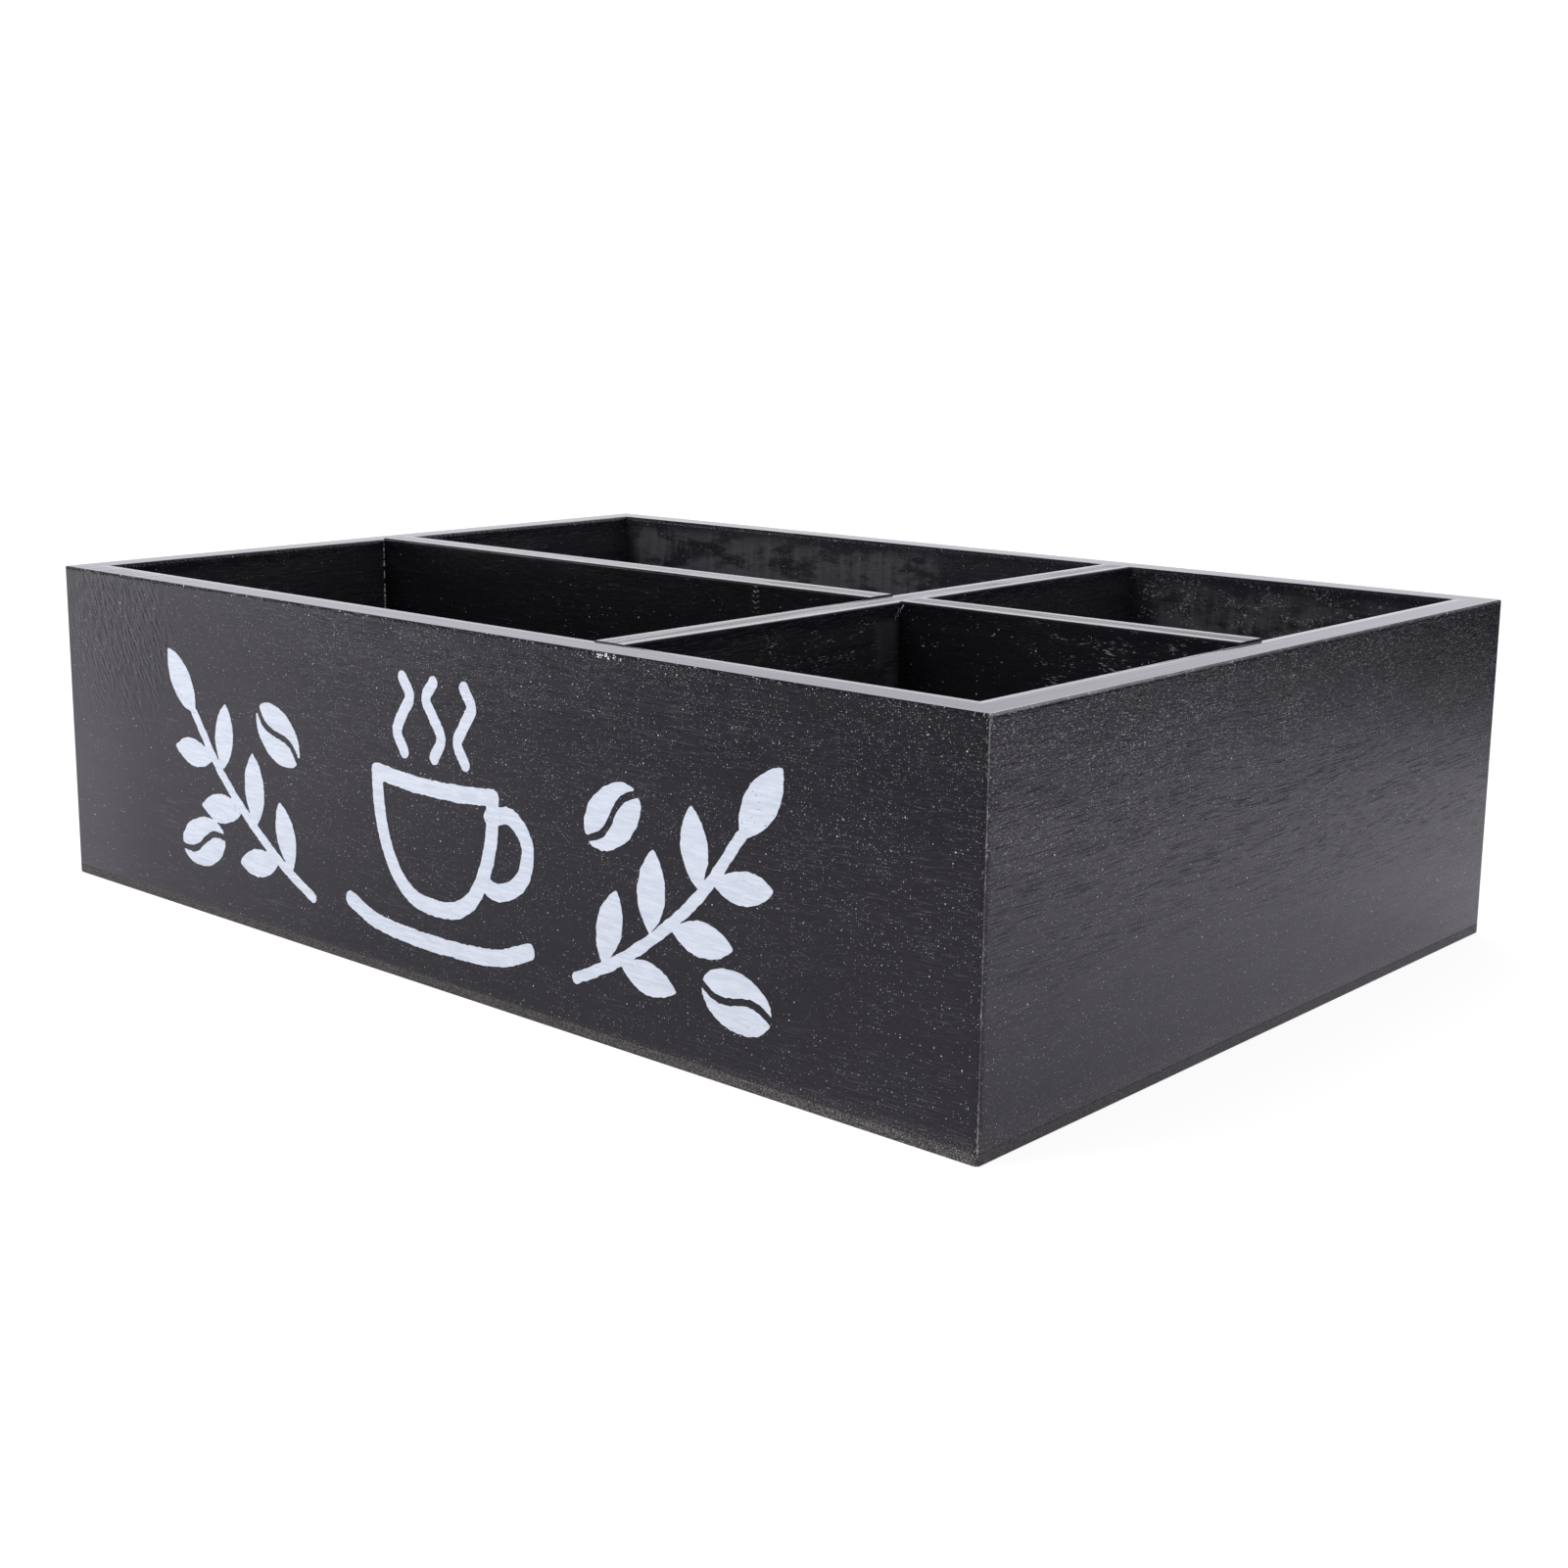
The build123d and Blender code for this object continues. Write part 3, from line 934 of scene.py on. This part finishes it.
# Each leaf's place along the stem, its turn in degrees and its length
LEAVES = (
    (0.16, 48, 17),
    (0.26, -40, 16),
    (0.44, 50, 18),
    (0.54, -42, 17),
    (0.72, 50, 17),
    (0.80, -44, 16),
    (1.0, 2, 19),
)
# Each bean's centre and its turn in degrees
BEANS = (((57, 50), 38), ((-58, 51), -35), ((92, 18), -12), ((-91, 19), 15))


def draw_cup(painting):
    for line in (CUP_BOWL, CUP_RIM, CUP_HANDLE, SAUCER):
        painting.stroke(line)
    for lean, foot in STEAM_FEET:
        sway = STEAM_SWAY * lean
        wisp = [(foot, 54), (foot + sway, 58.5), (foot, 63), (foot - sway, 67), (foot, 71)]
        painting.stroke(wisp, THIN_STROKE)


def draw_sprig(painting, side):
    """A branch with paired leaves, on the side that the sign gives."""
    line = smooth_line([(side * u, v) for u, v in SPRIG_STEM])
    painting.add(painting.line_distance(line, STEM_WIDTH))
    count = len(line) - 1
    for place, turn, length in LEAVES:
        i = min(int(place * count), count - 1)
        run = line[i + 1] - line[i]
        angle = math.atan2(run.y, run.x) + side * math.radians(turn)
        root = line[i] + Vector((math.cos(angle), math.sin(angle))) * LEAF_OFF_STEM
        painting.leaf(root, angle, length * MM, length * LEAF_FULLNESS * MM)


def drawn_loops():
    """The closed outlines of the whole motif."""
    painting = Painting()
    draw_cup(painting)
    for side in (-1, 1):
        draw_sprig(painting, side)
    for centre, turn in BEANS:
        painting.bean(centre, turn)
    painting.roughen(seed=7)
    return painting.loops()


def filled_curve(loops):
    """A flat filled curve as thick as the paint, without specks too small to see."""
    curve = bpy.data.curves.new("painted_motif_outline", "CURVE")
    curve.dimensions = "2D"
    curve.fill_mode = "BOTH"
    curve.extrude = (MOTIF_THICKNESS + MOTIF_SUNK) / 2
    for loop in loops:
        loop = thinned(loop, LOOP_TOLERANCE)
        if loop_area(loop) < SMALLEST_LOOP:
            continue
        spline = curve.splines.new("POLY")
        spline.points.add(len(loop) - 1)
        for point, spot in zip(spline.points, loop):
            point.co = (spot.x, spot.y, 0.0, 1.0)
        spline.use_cyclic_u = True
    return curve


def add_motif():
    """The paint as one thin closed slab on the front face."""
    curve = filled_curve(drawn_loops())
    drawn = bpy.data.objects.new("painted_motif_drawing", curve)
    mesh = bpy.data.meshes.new_from_object(drawn)
    bpy.data.objects.remove(drawn)
    bpy.data.curves.remove(curve)
    lift = Matrix.Translation((0, -HALF_DEPTH + (MOTIF_SUNK - MOTIF_THICKNESS) / 2, 0))
    mesh.transform(lift @ Matrix.Rotation(math.pi / 2, 4, "X"))
    add_piece("painted_motif", mesh, white_paint())


def add_piece(name, mesh, material):
    mesh.name = name
    mesh.materials.clear()
    mesh.materials.append(material)
    piece = bpy.data.objects.new(name, mesh)
    bpy.context.scene.collection.objects.link(piece)
    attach(piece, "root")


def blobs(name, spots, material):
    """Small uneven beads at (centre, radii) spots, as one mesh."""
    made = bmesh.new()
    for centre, radii in spots:
        shape = Matrix.Translation(centre) @ Matrix.Diagonal((*radii, 1.0))
        bmesh.ops.create_icosphere(made, subdivisions=2, radius=1.0, matrix=shape)
    mesh = bpy.data.meshes.new(name)
    made.to_mesh(mesh)
    made.free()
    for face in mesh.polygons:
        face.use_smooth = True
    add_piece(name, mesh, material)


# Glue beads, chipped nicks and filler flakes
GLUE_RUN = 24 * MM
GLUE_SHARE = 0.85
NICK_LANES = (0.0, 1.1)
NICKS_IN_LANE = 8
NICK_DEPTH = 0.05 * MM
FLAKE_COUNT = 24
FLAKE_DEPTH = 0.05 * MM


def add_glue_beads():
    """A broken string of glue squeezed out where the long divider meets the left wall."""
    rng = random.Random(31)
    spots = []
    z = RIM - 0.3 * MM
    while z > RIM - GLUE_RUN:
        size = rng.uniform(0.16, 0.32) * MM
        centre = Vector((-HALF_WIDTH + WALL + size * 0.3, LONG_FRONT - size * 0.3, z))
        if rng.random() < GLUE_SHARE:
            spots.append((centre, (size, size, size * rng.uniform(1.4, 3.0))))
        z -= rng.uniform(0.5, 1.3) * MM
    material = plain_paint("dried_glue", GLUE_PALE, GLUE_SHADE, 0.8, 0.5)
    blobs("glue_beads", spots, material)


def add_crossing_nicks():
    """Two short slanting lines of chipped paint over the corner where the dividers cross."""
    rng = random.Random(5)
    spots = []
    for lane in NICK_LANES:
        for i in range(NICKS_IN_LANE):
            share = i / (NICKS_IN_LANE - 1)
            past = (1.2 - lane - 1.7 * share + rng.uniform(-0.15, 0.15)) * MM
            z = RIM + (-0.4 - 0.6 * lane - 2.6 * share) * MM
            size = rng.uniform(0.11, 0.20) * MM
            if past > 0:
                spots.append((Vector((CROSS_RIGHT + past, LONG_FRONT, z)), (size, NICK_DEPTH, size)))
            else:
                spots.append((Vector((CROSS_RIGHT, LONG_FRONT + past, z)), (NICK_DEPTH, size, size)))
    material = plain_paint("chipped_pale", CHIP_PALE, CHIP_SHADE, 0.5, 0.7)
    blobs("crossing_nicks", spots, material)


def add_filler_flakes():
    """Pale flakes of filler just under the front rim, beside the cross divider."""
    rng = random.Random(12)
    spots = []
    for _ in range(FLAKE_COUNT):
        x = CROSS_RIGHT + rng.uniform(1.0, 8.0) * MM
        z = RIM - rng.uniform(0.30, 1.3) * MM
        size = rng.uniform(0.09, 0.20) * MM
        spots.append((Vector((x, -HALF_DEPTH, z)), (size * rng.uniform(1.0, 2.4), FLAKE_DEPTH, size)))
    material = plain_paint("filler_pale", FILLER_PALE, FILLER_SHADE, 0.5, 0.7)
    blobs("filler_flakes", spots, material)


def seen_rays(tree):
    """1 for rays that see the background: the camera's, and reflected and transmitted ones."""
    path = tree.nodes.new("ShaderNodeLightPath")
    total = path.outputs["Is Camera Ray"]
    for name in ("Is Glossy Ray", "Is Transmission Ray"):
        both = tree.nodes.new("ShaderNodeMath")
        both.operation = "MAXIMUM"
        tree.links.new(total, both.inputs[0])
        tree.links.new(path.outputs[name], both.inputs[1])
        total = both.outputs[0]
    return total


def add_world():
    world = bpy.data.worlds.new("studio")
    world.use_nodes = True
    bpy.context.scene.world = world
    tree = world.node_tree
    shade = tree.nodes["Background"]
    shade.inputs["Color"].default_value = (*BACKGROUND, 1.0)
    level = tree.nodes.new("ShaderNodeMapRange")
    tree.links.new(seen_rays(tree), level.inputs["Value"])
    level.inputs["To Min"].default_value = AMBIENT
    level.inputs["To Max"].default_value = 1.0
    tree.links.new(level.outputs["Result"], shade.inputs["Strength"])


def reflected_floor(g):
    """How pale reflections show the floor, as a glow with painted shade: greyer in front of the box, beside
    it and at its foot.
    """
    place = g.node("ShaderNodeTexCoord").outputs["Object"]
    away = g.distance(place, FLOOR_GREY_PLACE)
    grey = g.spread(g.step(away, *FLOOR_GREY_REACH), FLOOR_GREY, FLOOR_BRIGHT)
    x, y, _ = g.split(place)
    band = g.both(g.step(y, *BAND_Y), g.step(x, *BAND_X))
    grey = g.both(grey, g.spread(band, 1.0, BAND_SHADE))
    grey = g.both(grey, g.spread(g.step(x, *RIGHT_REACH), 1.0, RIGHT_SHADE))
    beside = g.math("MAXIMUM", g.less(x, HALF_WIDTH), g.less(FOOT_FROM_X, x))
    off_foot = g.math("MAXIMUM", beside, g.less(g.math("ABSOLUTE", y), HALF_DEPTH))
    near = g.both(g.step(off_foot, FOOT_REACH, 0.0), g.step(y, *FOOT_FADE_Y))
    return g.both(grey, g.spread(near, 1.0, FOOT_SHADE))


def floor_material():
    """White with a soft shadow for the camera, and for reflections a glow that is greyer in places with
    painted shade.
    """
    g = Graph("floor_white")
    g.tree.nodes.remove(g.shader)
    path = g.node("ShaderNodeLightPath")
    unlit = g.emission(BACKGROUND, reflected_floor(g))
    seen = g.node("ShaderNodeAddShader")
    g.feed(seen.inputs[0], g.diffuse(FLOOR_SHADE_ALBEDO))
    g.feed(seen.inputs[1], g.emission(NEUTRAL, FLOOR_GLOW))
    shown = g.choose(path.outputs["Is Glossy Ray"], seen.outputs[0], unlit)
    g.choose(seen_rays(g.tree), g.diffuse(FLOOR_BOUNCE_ALBEDO), shown, final=True)
    return g.material


def add_floor():
    mesh = bpy.data.meshes.new("floor")
    half = FLOOR_SIZE / 2
    corners = [(-half, -half, 0), (half, -half, 0), (half, half, 0), (-half, half, 0)]
    mesh.from_pydata(corners, [], [(0, 1, 2, 3)])
    mesh.materials.append(floor_material())
    floor = bpy.data.objects.new("floor", mesh)
    floor.location.z = -FLOOR_GAP
    bpy.context.scene.collection.objects.link(floor)


def add_card(name, corners):
    """A black card that only reflections show, painting dark reflections on the box's faces."""
    mesh = bpy.data.meshes.new(name)
    mesh.from_pydata(corners, [], [(0, 1, 2, 3)])
    g = Graph(name + "_black")
    mesh.materials.append(g.set(Base_Color=(*CARD_BLACK, 1.0), Roughness=1.0))
    card = bpy.data.objects.new(name, mesh)
    bpy.context.scene.collection.objects.link(card)
    card.visible_camera = False
    card.visible_diffuse = False
    card.visible_transmission = False
    card.visible_shadow = False


def add_wall_card(name, start, end, low):
    """An upright card over the floor line from start to end, from low up to CARD_TOP."""
    add_card(name, [(*start, low), (*end, low), (*end, CARD_TOP), (*start, CARD_TOP)])


def add_lamp(name, place, aim, size, power, glossy=True):
    light = bpy.data.lights.new(name, "AREA")
    light.size = size
    light.energy = power
    lamp = bpy.data.objects.new(name, light)
    lamp.location = place
    lamp.rotation_mode = "QUATERNION"
    lamp.rotation_quaternion = (Vector(aim) - Vector(place)).to_track_quat("-Z", "Y")
    lamp.visible_camera = False
    lamp.visible_glossy = glossy
    bpy.context.scene.collection.objects.link(lamp)


def add_camera():
    data = bpy.data.cameras.new("camera")
    data.lens = CAMERA_LENS
    data.sensor_width = CAMERA_SENSOR
    data.shift_x, data.shift_y = CAMERA_SHIFT
    data.clip_start = CAMERA_NEAR
    camera = bpy.data.objects.new("camera", data)
    camera.location = CAMERA_AT
    camera.rotation_mode = "QUATERNION"
    level = CAMERA_LOOK.to_track_quat("-Z", "Y")
    camera.rotation_quaternion = level @ Quaternion((0, 0, 1), CAMERA_ROLL)
    bpy.context.scene.collection.objects.link(camera)
    bpy.context.scene.camera = camera


dress_boards()
add_motif()
add_glue_beads()
add_crossing_nicks()
add_filler_flakes()
add_world()
add_floor()
add_wall_card("card_right", (0.16, 0.4425), (0.85, -0.075), 0.0)
add_wall_card("card_front", (-0.30, -0.43), (0.55, -0.43), 0.0)
add_wall_card("card_left", (-1.5, 0.0), (-0.7, -1.4), LEFT_CARD_FOOT)
add_card("card_above", [(x, y, CARD_TOP) for x, y in ((-2.2, -1.9), (1.2, -1.9), (1.2, 0.8), (-2.2, 0.8))])
add_lamp("key_softbox", (-0.9, -1.0, 1.7), (0, 0, 0.04), size=1.3, power=30.0, glossy=False)
add_lamp("edge_softbox", (-0.85, 0.95, 0.85), (0, 0, 0.08), size=0.8, power=3.0)
add_lamp("left_softbox", (-0.82, -0.50, 0.26), (-0.15, -0.1, 0.04), size=0.45, power=1.2)
add_camera()
bpy.context.scene.view_settings.view_transform = "Standard"
